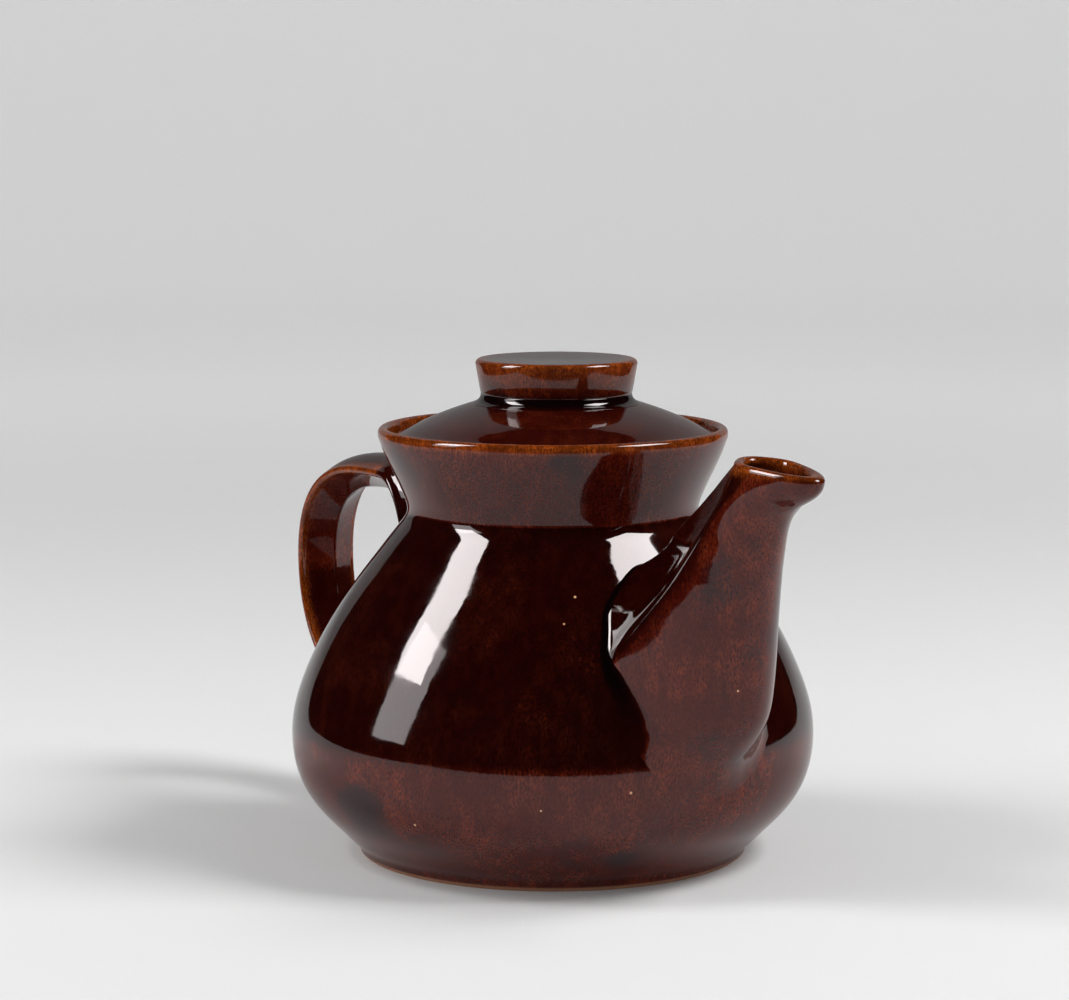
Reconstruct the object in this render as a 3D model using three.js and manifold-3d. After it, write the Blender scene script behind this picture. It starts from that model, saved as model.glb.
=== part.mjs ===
// Glazed terracotta teapot with a loose drop-in lid.
// Millimetres, +Z up, +X toward the tip of the spout. The origin is on the table, below the
// middle of the pot's whole length from handle to spout.
import * as THREE from 'three';
import { mergeVertices } from 'three/addons/utils/BufferGeometryUtils.js';
import Module from 'manifold-3d';

// Pot: heights above the table and outer radii
const footRadius = 55.6;
const footTopRadius = 60.2;
const footHeight = 6.5;
const bellyRadius = 75;
const bellyHeight = 33;
const waistRadius = 41.5;
const neckHeight = 24.2;
const rimRadius = 50;
const rimHeight = 122.4;

// Pot: walls and underside
const wall = 4;
const rimWall = 3.1;
const baseThickness = 5;
const footRecess = 2;
const footRingWidth = 5;
const footEdge = 0.6;

// Ledge inside the neck that carries the lid
const ledgeDepth = 5.2;
const ledgeWidth = 4.4;
const ledgeThickness = 3;

// Spout: how far it stands out from the belly, where it starts, how far its lip lies below
// the rim of the pot, and its widths
const spoutProjection = 43.5;
const spoutFootHeight = 30;
const lipDrop = 3.2;
const lipTilt = 2.6;
const spoutHalfWidth = 25;
const keelHalfWidth = 1.6;
const spoutWall = 3.2;

// Strainer holes through the pot wall behind the spout
const strainerHole = 5;
const strainerPitch = 9;
const strainerHeight = 66;
const strainerRingHoles = 6;

// Handle: a strap of lens-shaped section, measured to the middle of its thin edges
const handleReach = 123.9;
const handleDrop = 20.7;
const handleFootHeight = 27;
const handleWidth = 20;
const handleEdge = 2.6;
const handleCrown = 3;
const handleRidge = 4.6;
const rootWidening = 6;
const rootDeepening = 3;
const rootLift = 5;

// Near the neck the strap's edges bend down onto the shoulder: how far from the waist they
// start, over what length they turn, and how far down they reach
const droopStart = 34.5;
const droopLength = 18.7;
const rootDroop = 34;

// Lid and knob
const lidClearance = 1.3;
const lidShift = 1;
const lidEdgeHeight = 3;
const lidWall = 4;
const lidRise = 9.4;
const lidBulge = 1;
const flangeClearance = 1.6;
const flangeWall = 3.4;
const flangeDepth = 6;
const knobRadius = 23.1;
const knobWaistRadius = 21.6;
const knobHeight = 10.3;
const knobEdge = 1.4;

// Slip between joined pieces, gaps, and how far a cut runs past a face
const seatGap = 0.3;
const slipThickness = 1;
const overrun = 2;

// Steps of the round shapes
const turnSteps = 60;
const holeSteps = 12;
const quarterSteps = 6;
const bellySteps = 16;
const handleSteps = 42;

// Directions: where the lid has slid, in degrees from +X toward +Y, and where on the ellipse
// round the spout's nose the ridges lie, in degrees from straight across
const lidShiftAngle = 54.5;
const ridgeTurn = 30;

// Outlines, as shares of the sizes that they follow
// lower belly: height share from foot to belly, radius share from foot top to belly
const lowerBellyShares = [[0.257, 0.466], [0.543, 0.831], [0.84, 0.982]];
// shoulder: height share from belly to waist, radius share from waist to belly
const shoulderShares = [[0.118, 0.985], [0.291, 0.881], [0.479, 0.707], [0.653, 0.496], [0.827, 0.245]];
// neck: height share from waist to rim, radius share from waist to rim
const neckShares = [[0.243, 0.27], [0.49, 0.565], [0.775, 0.885]];

// spout, level by level: height share from spout foot to lip; keel and ridge reach shares
// from waist to spout tip; ridge and root half width shares of the spout's half width; nose
// share of the projection from the belly
const spoutLevelShares = [
  { height: 0, keel: 0, ridge: 0.24, width: 0.7, root: 0.72, nose: -0.03 },
  { height: 0.07, keel: 0, ridge: 0.24, width: 0.88, root: 0.9, nose: 0.07 },
  { height: 0.15, keel: 0, ridge: 0.24, width: 0.98, root: 1, nose: 0.21 },
  { height: 0.24, keel: 0, ridge: 0.24, width: 1.03, root: 1.03, nose: 0.32 },
  { height: 0.34, keel: 0, ridge: 0.25, width: 1.02, root: 1.03, nose: 0.38 },
  { height: 0.43, keel: 0, ridge: 0.285, width: 0.95, root: 1.08, nose: 0.41 },
  { height: 0.51, keel: 0, ridge: 0.335, width: 0.855, root: 1.08, nose: 0.43 },
  { height: 0.58, keel: 0, ridge: 0.39, width: 0.77, root: 0.66, nose: 0.452 },
  { height: 0.625, keel: 0, ridge: 0.427, width: 0.72, root: 0.28, nose: 0.465 },
  { height: 0.665, keel: 0.09, ridge: 0.46, width: 0.675, root: 0.1, nose: 0.482 },
  { height: 0.74, keel: 0.2, ridge: 0.517, width: 0.595, root: 0, nose: 0.53 },
  { height: 0.81, keel: 0.3, ridge: 0.567, width: 0.53, root: 0, nose: 0.585 },
  { height: 0.87, keel: 0.38, ridge: 0.608, width: 0.47, root: 0, nose: 0.65 },
  { height: 0.91, keel: 0.43, ridge: 0.635, width: 0.44, root: 0, nose: 0.765 },
  { height: 0.955, keel: 0.5, ridge: 0.665, width: 0.41, root: 0, nose: 0.94 },
  { height: 1, keel: 0.585, ridge: 0.7, width: 0.385, root: 0, nose: 1 },
];
const keelPowerShare = 0.72;

// handle's path from neck to belly: reach share from the pot to the handle's reach, height
// share from foot to top
const handlePathShares = [
  [-0.022, 0.99], [0.163, 0.997], [0.346, 1], [0.564, 1], [0.72, 0.983], [0.856, 0.922],
  [0.942, 0.83], [0.988, 0.716], [1, 0.589], [0.979, 0.435], [0.898, 0.281], [0.733, 0.147],
  [0.489, 0.054], [0.188, 0.007], [-0.062, 0], [-0.224, 0],
];
const upperRootShare = 0.36;
const lowerRootShare = 0.3;
const spreadPowerShare = 2;
const handleAcrossShares = [-1, -0.7, -0.35, 0, 0.35, 0.7, 1];

// Derived sizes
const waistHeight = rimHeight - neckHeight;
const lipHeight = rimHeight - lipDrop;
const handleTopHeight = rimHeight - handleDrop;
const spoutReach = bellyRadius + spoutProjection;
const handleExtent = handleReach + handleEdge / 2 + handleCrown;
const lengthShift = (handleExtent - spoutReach) / 2;
const rimInnerRadius = rimRadius - rimWall;
const ledgeHeight = rimHeight - ledgeDepth;
const ledgeInnerRadius = rimInnerRadius - ledgeWidth;
const lidBottom = ledgeHeight + seatGap;
const lidRadius = rimInnerRadius - lidClearance;
const lidTop = lidBottom + lidEdgeHeight + lidRise;
const flangeRadius = ledgeInnerRadius - flangeClearance;
const seamGapToPiece = seatGap + slipThickness + seatGap;

const wasm = await Module();
wasm.setup();

const radians = (degrees) => THREE.MathUtils.degToRad(degrees);
const mix = (from, to, share) => from + (to - from) * share;
const point = (radius, height) => new THREE.Vector2(radius, height);

function glazed(colour, roughness) {
  return new THREE.MeshStandardMaterial({ color: new THREE.Color(colour), roughness, metalness: 0 });
}

// Keeps only positions, welds shared vertices and drops the triangles that have closed up.
function welded(geometry) {
  const bare = geometry.clone();
  bare.deleteAttribute('normal');
  bare.deleteAttribute('uv');
  const merged = mergeVertices(bare);
  const corners = merged.index.array;
  const kept = [];
  for (let i = 0; i < corners.length; i += 3) {
    const [a, b, c] = corners.slice(i, i + 3);
    if (a !== b && b !== c && c !== a) kept.push(a, b, c);
  }
  merged.setIndex(kept);
  return merged;
}

function solidOf(geometry) {
  const closed = welded(geometry);
  return new wasm.Manifold(new wasm.Mesh({
    numProp: 3,
    vertProperties: new Float32Array(closed.attributes.position.array),
    triVerts: new Uint32Array(closed.index.array),
  }));
}

function geometryOf(solid) {
  const { vertProperties, triVerts } = solid.getMesh();
  const geometry = new THREE.BufferGeometry();
  geometry.setAttribute('position', new THREE.BufferAttribute(vertProperties, 3));
  geometry.setIndex(new THREE.BufferAttribute(triVerts, 1));
  geometry.computeVertexNormals();
  return geometry;
}

// Turns an outline of (radius, height) points round the upright axis. The outline starts and
// ends on the axis and runs outward along its underside first.
function turned(outline) {
  const geometry = new THREE.LatheGeometry(outline, turnSteps);
  geometry.rotateX(Math.PI / 2);
  return solidOf(geometry);
}

// Skins a row of closed loops that have equally many points, and closes both ends.
function skinned(loops) {
  const count = loops[0].length;
  const positions = loops.flat().flatMap((corner) => corner.toArray());
  const triangles = [];
  for (let level = 0; level + 1 < loops.length; level += 1) {
    for (let i = 0; i < count; i += 1) {
      const next = (i + 1) % count;
      const low = level * count;
      const high = low + count;
      triangles.push(low + i, low + next, high + next, low + i, high + next, high + i);
    }
  }
  const last = (loops.length - 1) * count;
  for (let i = 1; i + 1 < count; i += 1) {
    triangles.push(0, i + 1, i, last, last + i, last + i + 1);
  }
  const geometry = new THREE.BufferGeometry();
  geometry.setAttribute('position', new THREE.Float32BufferAttribute(positions, 3));
  geometry.setIndex(triangles);
  return solidOf(geometry);
}

// Outside of the belly from the top of the foot to the waist.
function bellyOutline() {
  const lower = lowerBellyShares.map(([up, out]) => point(
    mix(footTopRadius, bellyRadius, out),
    mix(footHeight, bellyHeight, up),
  ));
  const shoulder = shoulderShares.map(([up, out]) => point(
    mix(waistRadius, bellyRadius, out),
    mix(bellyHeight, waistHeight, up),
  ));
  const curve = new THREE.SplineCurve([
    point(footTopRadius, footHeight),
    ...lower,
    point(bellyRadius, bellyHeight),
    ...shoulder,
    point(waistRadius, waistHeight),
  ]);
  return curve.getPoints(bellySteps);
}

// Outside of the neck, above the waist and below the rounded rim.
function neckOutline() {
  return neckShares.map(([up, out]) => point(
    mix(waistRadius, rimRadius, out),
    mix(waistHeight, rimHeight, up),
  ));
}

// Half circle over the rim, from its outer to its inner side.
function rimRound() {
  const radius = rimWall / 2;
  const middle = point(rimRadius - radius, rimHeight - radius);
  const corners = [];
  for (let step = 0; step <= quarterSteps; step += 1) {
    const turn = (Math.PI * step) / quarterSteps;
    corners.push(point(middle.x + radius * Math.cos(turn), middle.y + radius * Math.sin(turn)));
  }
  return corners;
}

function footOutline() {
  const innerRadius = footRadius - footRingWidth;
  return [
    point(0, footRecess),
    point(innerRadius - footRecess, footRecess),
    point(innerRadius, 0),
    point(footRadius - footEdge, 0),
    point(footRadius, footEdge),
  ];
}

// The pot's outside as a solid without hollow, swollen by a distance.
function potCore(swell) {
  const outside = [...bellyOutline(), ...neckOutline(), point(rimRadius, rimHeight)];
  const swollen = outside.map((corner) => point(corner.x + swell, corner.y));
  const top = rimHeight + overrun;
  return turned([
    point(0, 0),
    point(footRadius + swell, 0),
    ...swollen,
    point(rimRadius + swell, top),
    point(0, top),
  ]);
}

// Inside of the pot: the ledge, then the outside drawn in by the wall, then the floor.
function potInside() {
  const ledgeBottom = ledgeHeight - ledgeThickness;
  const floorHeight = footRecess + baseThickness;
  const inside = [...bellyOutline(), ...neckOutline()]
    .map((corner) => point(corner.x - wall, corner.y))
    .filter((corner) => corner.y > floorHeight + wall && corner.y < ledgeBottom)
    .reverse();
  const floorRadius = inside[inside.length - 1].x - wall;
  return [
    point(rimInnerRadius, ledgeHeight),
    point(ledgeInnerRadius, ledgeHeight),
    point(ledgeInnerRadius, ledgeBottom),
    ...inside,
    point(floorRadius, floorHeight),
    point(0, floorHeight),
  ];
}

function strainerHoles() {
  const length = bellyRadius;
  const places = [point(0, 0)];
  for (let hole = 0; hole < strainerRingHoles; hole += 1) {
    const turn = (2 * Math.PI * hole) / strainerRingHoles;
    places.push(point(strainerPitch * Math.cos(turn), strainerPitch * Math.sin(turn)));
  }
  return places.map((place) => {
    const hole = new THREE.CylinderGeometry(strainerHole / 2, strainerHole / 2, length, holeSteps);
    hole.rotateZ(Math.PI / 2);
    hole.translate(waistRadius + length / 2, place.x, strainerHeight + place.y);
    return solidOf(hole);
  });
}

function potBody() {
  const shell = turned([
    ...footOutline(),
    ...bellyOutline(),
    ...neckOutline(),
    ...rimRound(),
    ...potInside(),
  ]);
  return strainerHoles().reduce((pot, hole) => pot.subtract(hole), shell);
}

// Reach, widths and height of the spout at each level, drawn in by the wall for its hollow.
function spoutLevels(inset) {
  const levels = spoutLevelShares.map((share) => ({
    height: mix(spoutFootHeight, lipHeight, share.height),
    keel: mix(waistRadius, spoutReach, share.keel),
    ridge: mix(waistRadius, spoutReach, share.ridge),
    nose: bellyRadius + spoutProjection * share.nose,
    width: spoutHalfWidth * share.width,
    root: Math.max(spoutHalfWidth * share.root, keelHalfWidth),
  }));
  return levels.map((level, i) => {
    const below = levels[Math.max(i - 1, 0)];
    const above = levels[Math.min(i + 1, levels.length - 1)];
    const rise = above.height - below.height;
    const keelSlant = Math.hypot(1, (above.keel - below.keel) / rise);
    const noseSlant = Math.hypot(1, (above.nose - below.nose) / rise);
    return {
      height: level.height,
      keel: level.keel + inset * keelSlant,
      ridge: level.ridge,
      nose: level.nose - inset * noseSlant,
      width: level.width - inset,
      root: Math.max(level.root - inset, keelHalfWidth),
      tilt: lipTilt * (i / (levels.length - 1)) ** 4,
    };
  });
}

// One level loop of the spout: keel or root at the back, ridge on each side, nose in front.
function spoutLoop(level) {
  const side = [];
  for (let step = 0; step <= quarterSteps; step += 1) {
    const turn = (Math.PI / 2) * (step / quarterSteps);
    const along = Math.cos(turn) ** (1 / keelPowerShare);
    const across = Math.sin(turn) ** (1 / keelPowerShare);
    side.push(point(mix(level.ridge, level.keel, along), mix(level.root, level.width, across)));
  }
  const start = radians(ridgeTurn);
  for (let step = 1; step <= quarterSteps; step += 1) {
    const turn = mix(start, Math.PI / 2, step / quarterSteps);
    const along = (Math.sin(turn) - Math.sin(start)) / (1 - Math.sin(start));
    const across = Math.cos(turn) / Math.cos(start);
    side.push(point(mix(level.ridge, level.nose, along), level.width * across));
  }
  const other = side.slice(0, -1).reverse().map((corner) => point(corner.x, -corner.y));
  const middle = (level.keel + level.nose) / 2;
  return [...side, ...other].map((corner) => new THREE.Vector3(
    corner.x,
    -corner.y,
    level.height - (level.tilt * (corner.x - middle)) / (level.nose - level.keel),
  ));
}

function spoutShell() {
  const outside = skinned(spoutLevels(0).map(spoutLoop));
  const inner = spoutLevels(spoutWall).map(spoutLoop);
  const mouth = inner[inner.length - 1].map((corner) => corner.clone().setZ(corner.z + overrun));
  return outside.subtract(skinned([...inner, mouth]));
}

// Parts a joined piece from the pot: the piece itself, and the slip between them.
function joined(piece) {
  const seam = piece.intersect(potCore(seatGap + slipThickness)).subtract(potCore(seatGap));
  return { piece: piece.subtract(potCore(seamGapToPiece)), seam };
}

// How strongly the handle spreads at a place along its path, from 0 to 1.
function rootSpread(share, rootShare) {
  return Math.max(1 - share / rootShare, 0) ** spreadPowerShare;
}

// How far the strap's edges hang below its middle, along a quarter of an ellipse.
function edgeDroop(reach) {
  const turned = THREE.MathUtils.clamp((waistRadius + droopStart - reach) / droopLength, 0, 1);
  return rootDroop * (1 - Math.sqrt(1 - turned ** 2));
}

function handleLoop(path, share) {
  const place = path.getPoint(share);
  const along = path.getTangent(share);
  const outward = point(along.y, -along.x);
  const spread = rootSpread(share, upperRootShare) + rootSpread(1 - share, lowerRootShare);
  const halfWidth = handleWidth / 2 + rootWidening * spread;
  const crown = handleEdge / 2 + handleCrown + rootLift * spread;
  const ridge = handleEdge / 2 + handleRidge + rootDeepening * spread;
  const droop = share < 1 / 2 ? edgeDroop(-place.x) : 0;
  const corners = [];
  for (const across of handleAcrossShares) {
    const rise = mix(handleEdge / 2, crown, 1 - across ** 2);
    corners.push([across, rise - droop * across ** 2]);
  }
  for (const across of handleAcrossShares) {
    const fall = mix(handleEdge / 2, ridge, 1 - Math.abs(across));
    corners.push([-across, -fall - droop * across ** 2]);
  }
  return corners.map(([across, out]) => new THREE.Vector3(
    place.x + outward.x * out,
    halfWidth * across,
    place.y + outward.y * out,
  ));
}

function handleStrap() {
  const path = new THREE.SplineCurve(handlePathShares.map(([out, up]) => point(
    -mix(mix(bellyRadius, waistRadius, up), handleReach, out),
    mix(handleFootHeight, handleTopHeight, up),
  )));
  const loops = [];
  for (let step = 0; step <= handleSteps; step += 1) {
    loops.push(handleLoop(path, step / handleSteps));
  }
  return skinned(loops);
}

// Top of the lid from its rim to the flat seat of the knob.
function lidDome() {
  const rim = point(lidRadius, lidBottom + lidEdgeHeight);
  const seat = point(knobWaistRadius, lidTop);
  const bulge = point(mix(rim.x, seat.x, 1 / 2) + lidBulge / 2, mix(rim.y, seat.y, 1 / 2) + lidBulge);
  return new THREE.QuadraticBezierCurve(rim, bulge, seat).getPoints(quarterSteps);
}

function lidPlate() {
  const dome = lidDome();
  const under = dome.map((corner) => point(corner.x, corner.y - lidWall)).reverse();
  const flangeInner = flangeRadius - flangeWall;
  const flangeBottom = lidBottom - flangeDepth;
  const hollow = under.filter((corner) => corner.x < flangeInner);
  return turned([
    point(0, lidTop - lidWall),
    ...hollow,
    point(flangeInner, lidBottom),
    point(flangeInner, flangeBottom),
    point(flangeRadius, flangeBottom),
    point(flangeRadius, lidBottom),
    point(lidRadius, lidBottom),
    ...dome,
    point(0, lidTop),
  ]);
}

function knob() {
  const bottom = lidTop + seamGapToPiece;
  const top = bottom + knobHeight;
  const side = new THREE.QuadraticBezierCurve(
    point(knobWaistRadius, bottom),
    point(knobWaistRadius, mix(bottom, top, 1 / 2)),
    point(knobRadius, top - knobEdge),
  );
  const edge = new THREE.QuadraticBezierCurve(
    point(knobRadius, top - knobEdge),
    point(knobRadius, top),
    point(knobRadius - knobEdge, top),
  );
  return turned([
    point(0, bottom),
    ...side.getPoints(quarterSteps),
    ...edge.getPoints(quarterSteps).slice(1),
    point(0, top),
  ]);
}

function knobSlip() {
  const bottom = lidTop + seatGap;
  const radius = knobWaistRadius - slipThickness;
  return turned([
    point(0, bottom),
    point(radius, bottom),
    point(radius, bottom + slipThickness),
    point(0, bottom + slipThickness),
  ]);
}

// A block round the axis, wider than the pot, between two heights.
function slab(low, high) {
  const width = 2 * (spoutReach + handleExtent);
  const block = new THREE.BoxGeometry(width, width, high - low);
  block.translate(0, 0, (low + high) / 2);
  return solidOf(block);
}

function named(name, solid, material) {
  const mesh = new THREE.Mesh(geometryOf(solid), material.clone());
  mesh.name = name;
  return mesh;
}

const glaze = glazed('#4a1a10', 0.12);
const thinGlaze = glazed('#5a2412', 0.12);
const slip = glazed('#2a0d08', 0.2);

const spout = joined(spoutShell());
const handle = joined(handleStrap());
const handleMiddle = mix(handleFootHeight, handleTopHeight, 1 / 2);

const pot = new THREE.Group();
pot.add(
  named('pot_body', potBody(), glaze),
  named('spout', spout.piece, glaze),
  named('spout_slip_seam', spout.seam, slip),
  named('handle', handle.piece, thinGlaze),
  named('handle_upper_slip_seam', handle.seam.intersect(slab(handleMiddle, rimHeight)), slip),
  named('handle_lower_slip_seam', handle.seam.intersect(slab(0, handleMiddle)), slip),
);

// The loose lid has slid to one side in its seat.
const lid = new THREE.Group();
lid.position.x = lidShift * Math.cos(radians(lidShiftAngle));
lid.position.y = lidShift * Math.sin(radians(lidShiftAngle));
lid.add(
  named('lid', lidPlate(), glaze),
  named('knob_slip_seam', knobSlip(), slip),
  named('lid_knob', knob(), thinGlaze),
);

const teapot = new THREE.Group();
teapot.position.x = lengthShift;
teapot.add(pot, lid);
export default teapot;
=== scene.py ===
# %% [markdown]
# # A glazed clay teapot
# The real pot is made of red clay in parts: a cast body, a cast spout, a pressed handle and a
# turned lid with its knob. Wet slip glues them together, and one clear brown glaze covers all.
# The lesson builds each of those parts as its own mesh around a fixed frame from CAD, then
# spends its care on the glaze, because a glossy dark pot is seen mostly by what it reflects.

# %% Load the frame
import math

import bmesh
import bpy
import numpy as np
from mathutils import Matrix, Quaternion, Vector
from mathutils.bvhtree import BVHTree


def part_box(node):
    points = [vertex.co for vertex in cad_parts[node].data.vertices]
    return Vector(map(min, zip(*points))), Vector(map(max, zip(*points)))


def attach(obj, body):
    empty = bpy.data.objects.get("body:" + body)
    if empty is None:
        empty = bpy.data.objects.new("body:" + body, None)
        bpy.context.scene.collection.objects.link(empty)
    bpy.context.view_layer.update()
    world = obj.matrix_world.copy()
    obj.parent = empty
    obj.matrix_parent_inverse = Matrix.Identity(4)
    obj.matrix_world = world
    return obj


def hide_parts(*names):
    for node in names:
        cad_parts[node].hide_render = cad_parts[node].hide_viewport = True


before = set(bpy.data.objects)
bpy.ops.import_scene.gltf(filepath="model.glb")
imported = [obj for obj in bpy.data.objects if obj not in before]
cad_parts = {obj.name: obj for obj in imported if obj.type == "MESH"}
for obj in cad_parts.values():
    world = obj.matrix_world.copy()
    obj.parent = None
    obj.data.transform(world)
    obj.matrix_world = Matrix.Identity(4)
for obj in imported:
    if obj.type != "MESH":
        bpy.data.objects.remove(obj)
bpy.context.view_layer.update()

print("pieces in the frame:", sorted(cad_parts))

# %% [markdown]
# ## Sizes from the frame
# Everything is in metres. The main sizes are read from the frame, so the meshes follow it: the
# pot's axis, its belly and rim from the body, the lip from the spout, the reach from the handle.

# %% Main sizes
MM = 0.001
pot_low, pot_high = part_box("pot_body")
spout_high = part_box("spout")[1]
handle_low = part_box("handle")[0]
lid_low, lid_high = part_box("lid")
knob_low, knob_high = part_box("lid_knob")
axis = Vector(((pot_low.x + pot_high.x) / 2, (pot_low.y + pot_high.y) / 2, 0))
lid_axis = Vector(((lid_low.x + lid_high.x) / 2, (lid_low.y + lid_high.y) / 2, 0))
belly_radius = (pot_high.y - pot_low.y) / 2
rim_height = pot_high.z
spout_reach = spout_high.x - axis.x
handle_reach = axis.x - handle_low.x
print(f"belly radius {belly_radius:.4f}, rim height {rim_height:.4f}, spout reach {spout_reach:.4f}")

# %% [markdown]
# ## The camera
# The photograph was taken from a little above the rim, about a metre away, with the spout
# turned toward the lens. A camera is placed by its distance and height from the pot's axis, and
# the long lens gives the mild perspective. It looks a touch beside the pot, so no shift is used.

# %% Camera
image_width, image_height = 1069, 1000
focal_pixels = 3419.5
sensor_width = 36.0
spout_turn = math.radians(54.5)
camera_distance = 0.97015
camera_height = 0.22739
camera_pitch = 0.1295
camera_yaw = -0.0054


def from_photo(right, away, up):
    """A direction or offset given as right, away from the camera and up, in the frame."""
    return Vector((
        right * math.cos(spout_turn) - away * math.sin(spout_turn),
        right * math.sin(spout_turn) + away * math.cos(spout_turn),
        up,
    ))


camera_data = bpy.data.cameras.new("photo_camera")
camera_data.sensor_width = sensor_width
camera_data.lens = focal_pixels / image_width * sensor_width
camera = bpy.data.objects.new("photo_camera", camera_data)
bpy.context.scene.collection.objects.link(camera)
camera.location = axis + from_photo(0, -camera_distance, camera_height)
look = from_photo(
    math.sin(camera_yaw) * math.cos(camera_pitch),
    math.cos(camera_yaw) * math.cos(camera_pitch),
    -math.sin(camera_pitch),
)
camera_turn = look.to_track_quat("-Z", "Y")
camera.rotation_euler = camera_turn.to_euler()
bpy.context.scene.camera = camera
print(f"lens {camera_data.lens:.1f} mm, camera at {tuple(round(v, 3) for v in camera.location)}")

# %% [markdown]
# ## Tools for smooth shapes
# Glossy surfaces show every kink, so outlines and tables of shares go through their points as
# cubic splines, whose curvature is continuous, and the tables are softened a little as well.

# %% Splines and softening
spline_fineness = 8
gaussian_reach = 3


def spline(knots, values, places):
    """Rows of the natural cubic spline through the rows of values, at the places."""
    gaps = np.diff(knots)
    size = len(knots)
    system = np.eye(size)
    bends = np.zeros_like(values)
    for i in range(1, size - 1):
        system[i, i - 1:i + 2] = gaps[i - 1], 2 * (gaps[i - 1] + gaps[i]), gaps[i]
        rise = (values[i + 1] - values[i]) / gaps[i]
        bends[i] = 6 * (rise - (values[i] - values[i - 1]) / gaps[i - 1])
    bends = np.linalg.solve(system, bends)
    i = np.clip(np.searchsorted(knots, places, side="right") - 1, 0, size - 2)
    gap = gaps[i][:, None]
    ahead = (knots[i + 1] - places)[:, None]
    behind = (places - knots[i])[:, None]
    curved = (bends[i] * ahead**3 + bends[i + 1] * behind**3) / (6 * gap)
    from_low = (values[i] / gap - bends[i] * gap / 6) * ahead
    from_high = (values[i + 1] / gap - bends[i + 1] * gap / 6) * behind
    return curved + from_low + from_high


def run_along(points):
    """Distance along a line of points from its first one."""
    return np.concatenate([[0], np.cumsum(np.linalg.norm(np.diff(points, axis=0), axis=1))])


def at_run(points, run):
    """Places on a line of points at given distances from its first one."""
    known = run_along(points)
    return np.stack([np.interp(run, known, points[:, k]) for k in range(points.shape[1])], axis=-1)


def through(points, count):
    """A smooth curve through the points, as count places at even distances."""
    points = np.asarray(points, float)
    knots = run_along(points)
    fine = spline(knots, points, np.linspace(0, knots[-1], spline_fineness * count))
    return at_run(fine, np.linspace(0, run_along(fine)[-1], count))


def softened(rows, reach, around=False):
    """Averages rows with their neighbours, with a Gaussian that is reach rows wide."""
    rows = np.asarray(rows, float)
    half = max(int(gaussian_reach * reach), 1)
    weights = np.exp(-0.5 * (np.arange(-half, half + 1) / reach) ** 2)
    weights /= weights.sum()
    if around:
        padded = np.concatenate([rows[-half:], rows, rows[:half]])
    else:
        low = 2 * rows[0] - rows[half:0:-1]
        high = 2 * rows[-1] - rows[-2:-half - 2:-1]
        padded = np.concatenate([low, rows, high])
    return sum(w * padded[k:k + len(rows)] for k, w in enumerate(weights))


def mix(low, high, share):
    return low + (high - low) * share


def rising(value, low, high):
    """Goes smoothly from 0 to 1 as the value goes from low to high."""
    share = np.clip((value - low) / (high - low), 0, 1)
    return share**2 * (3 - 2 * share)


def bent(start, corner, end, steps):
    """Points from start to end that leave and arrive in line with the corner."""
    start, corner, end = (np.asarray(part, float) for part in (start, corner, end))
    share = np.linspace(0, 1, steps).reshape(-1, *[1] * start.ndim)
    return (1 - share) ** 2 * start + 2 * share * (1 - share) * corner + share**2 * end


def arc(centre, radius, start, end, steps):
    """Points of an arc in an outline, by its centre, radius and end angles in degrees."""
    angle = np.radians(np.linspace(start, end, steps))
    return np.stack([centre[0] + radius * np.cos(angle), centre[1] + radius * np.sin(angle)], axis=1)


# %% [markdown]
# ## Meshes from rows of points
# Every part is a net of rows: a turned part has one ring for each point of its outline, and a
# lofted part one loop for each cross-section. One helper makes the faces, welds points that
# fall together, leaves out faces that lie buried in another part and turns the rest outward.

# %% Mesh helpers
pot_turns = 288
weld_distance = MM / 1000


def net(name, rows, body, stands_for, buried=None):
    """A smooth mesh from rows of points that each close on themselves."""
    rows = np.asarray(rows, float)
    count, across = rows.shape[:2]
    mesh = bpy.data.meshes.new(name)
    numbers = np.arange(count * across).reshape(count, across)
    beside = np.roll(numbers, -1, axis=1)
    corners = np.stack([numbers[:-1], beside[:-1], beside[1:], numbers[1:]], axis=2).reshape(-1, 4)
    if buried is not None:
        corners = corners[~buried.reshape(-1)[corners].all(axis=1)]
    mesh.from_pydata(rows.reshape(-1, 3).tolist(), [], corners.tolist())
    row_share = mesh.attributes.new("row_share", "FLOAT", "POINT")
    row_share.data.foreach_set("value", np.repeat(np.linspace(0, 1, count), across))
    work = bmesh.new()
    work.from_mesh(mesh)
    loose = [corner for corner in work.verts if not corner.link_faces]
    bmesh.ops.delete(work, geom=loose, context="VERTS")
    bmesh.ops.remove_doubles(work, verts=work.verts, dist=weld_distance)
    bmesh.ops.recalc_face_normals(work, faces=work.faces)
    work.to_mesh(mesh)
    work.free()
    mesh.shade_smooth()
    piece = bpy.data.objects.new(name, mesh)
    bpy.context.scene.collection.objects.link(piece)
    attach(piece, body)
    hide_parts(*stands_for)
    print(f"{name}: {len(mesh.polygons)} faces")
    return piece


def turned(outline, centre, turns=pot_turns):
    """Rows of points from an outline of radii and heights turned round an upright axis."""
    outline = np.asarray(outline, float)
    angle = np.linspace(0, 2 * math.pi, turns, endpoint=False)
    radius, height = outline[:, :1], outline[:, 1:]
    return np.stack([
        centre.x + radius * np.cos(angle),
        centre.y + radius * np.sin(angle),
        np.broadcast_to(height, (len(outline), turns)),
    ], axis=2)


# %% [markdown]
# ## The body
# A body like this is cast in a plaster mould: one even wall, a foot ring below, a full low
# belly, a tight waist and a neck that flares to the rim. Its outline is measured from the
# photograph as shares of the belly radius and the rim height, and turned round the axis.

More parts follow.
